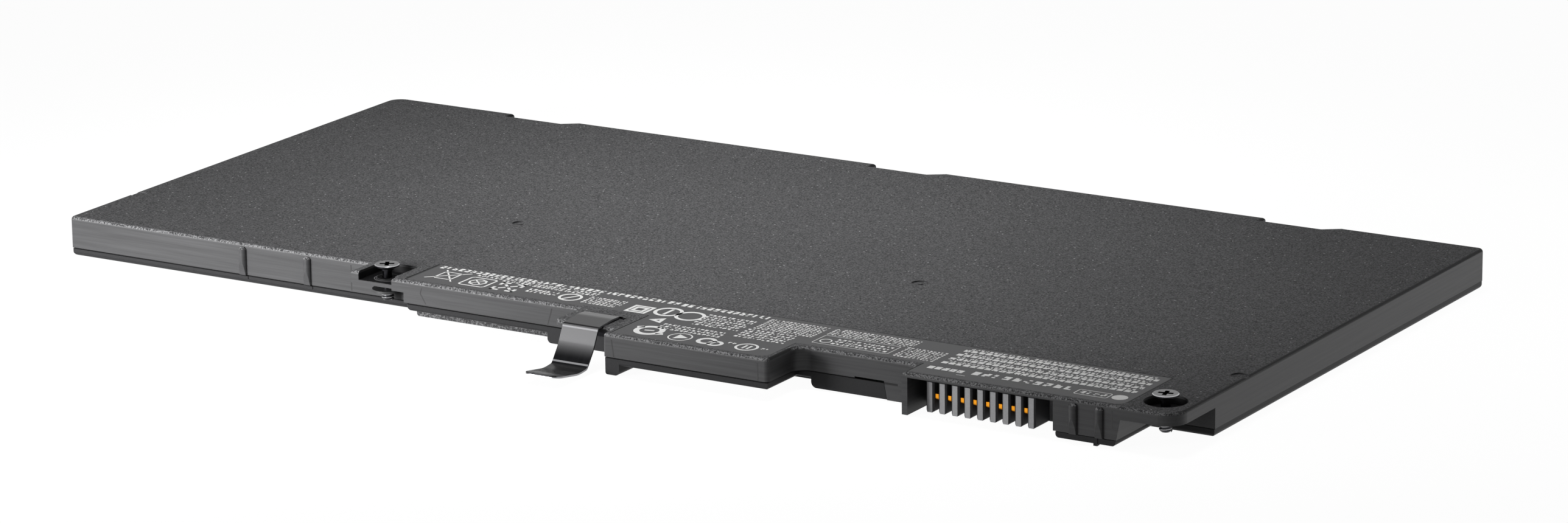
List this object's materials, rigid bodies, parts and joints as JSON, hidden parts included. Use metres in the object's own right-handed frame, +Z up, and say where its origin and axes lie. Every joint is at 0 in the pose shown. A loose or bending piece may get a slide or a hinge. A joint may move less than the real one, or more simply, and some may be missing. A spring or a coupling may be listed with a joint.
{
  "type": "laptop battery",
  "caption": "Flat internal laptop battery: thin two-part plastic case with a stepped front strip, captive screws in two ears, a bent spring clip and a ribbed blade connector.",
  "frame": {"origin": "on the plane that the battery rests on, below the middle of its whole length and depth, the clip included", "axes": "+X along the length, to the right as seen from the connector side; -Y towards the front strip with the connector; +Z up, out of the labelled deck"},
  "size_m": [0.23, 0.1301, 0.0087],
  "materials": {
    "case": "matt, fine spark texture",
    "tray": "satin",
    "label": "smooth satin film",
    "spring_steel": "blackened, half gloss",
    "screw_steel": "blackened, bright worn edges",
    "ring": "matt",
    "connector": "satin",
    "gold": "polished plating",
    "pouch": "satin laminated foil",
    "tab_metal": "satin",
    "pad": "matt",
    "board": "satin solder mask",
    "chip": "matt",
    "ceramic_part": "satin",
    "fuse": "satin",
    "tape": "satin film"
  },
  "bodies": {
    "pack": {"top_cover": "case", "bottom_cover": "tray", "label_film": "label", "spring_clip": "spring_steel", "connector_housing": "connector", "connector_contacts": "gold", "cell_left": "pouch", "cell_middle": "pouch", "cell_right": "pouch", "cell_tabs": "tab_metal", "adhesive_pads": "pad", "protection_board": "board", "gauge_chip": "chip", "power_transistors": "chip", "chip_fuse": "fuse", "sense_resistor": "chip", "board_capacitors": "ceramic_part", "tab_tape": "tape"},
    "left_screw": {"left_screw": "screw_steel"},
    "left_retainer": {"left_retainer": "ring"},
    "right_screw": {"right_screw": "screw_steel"},
    "right_retainer": {"right_retainer": "ring"}
  },
  "joints": [
    {"name": "left_screw_slide", "type": "slide", "parent": "pack", "child": "left_retainer", "axis": [0, 0, -1], "range_m": [-0.00112, 0.00125]},
    {"name": "left_screw_turn", "type": "hinge", "parent": "left_retainer", "child": "left_screw", "pos_m": [-0.0445, -0.0388, 0.00373], "axis": [0, 0, 1], "continuous": true},
    {"name": "right_screw_slide", "type": "slide", "parent": "pack", "child": "right_retainer", "axis": [0, 0, -1], "range_m": [-0.00077, 0.0016]},
    {"name": "right_screw_turn", "type": "hinge", "parent": "right_retainer", "child": "right_screw", "pos_m": [0.1097, -0.04385, 0.00407], "axis": [0, 0, 1], "continuous": true}
  ]
}
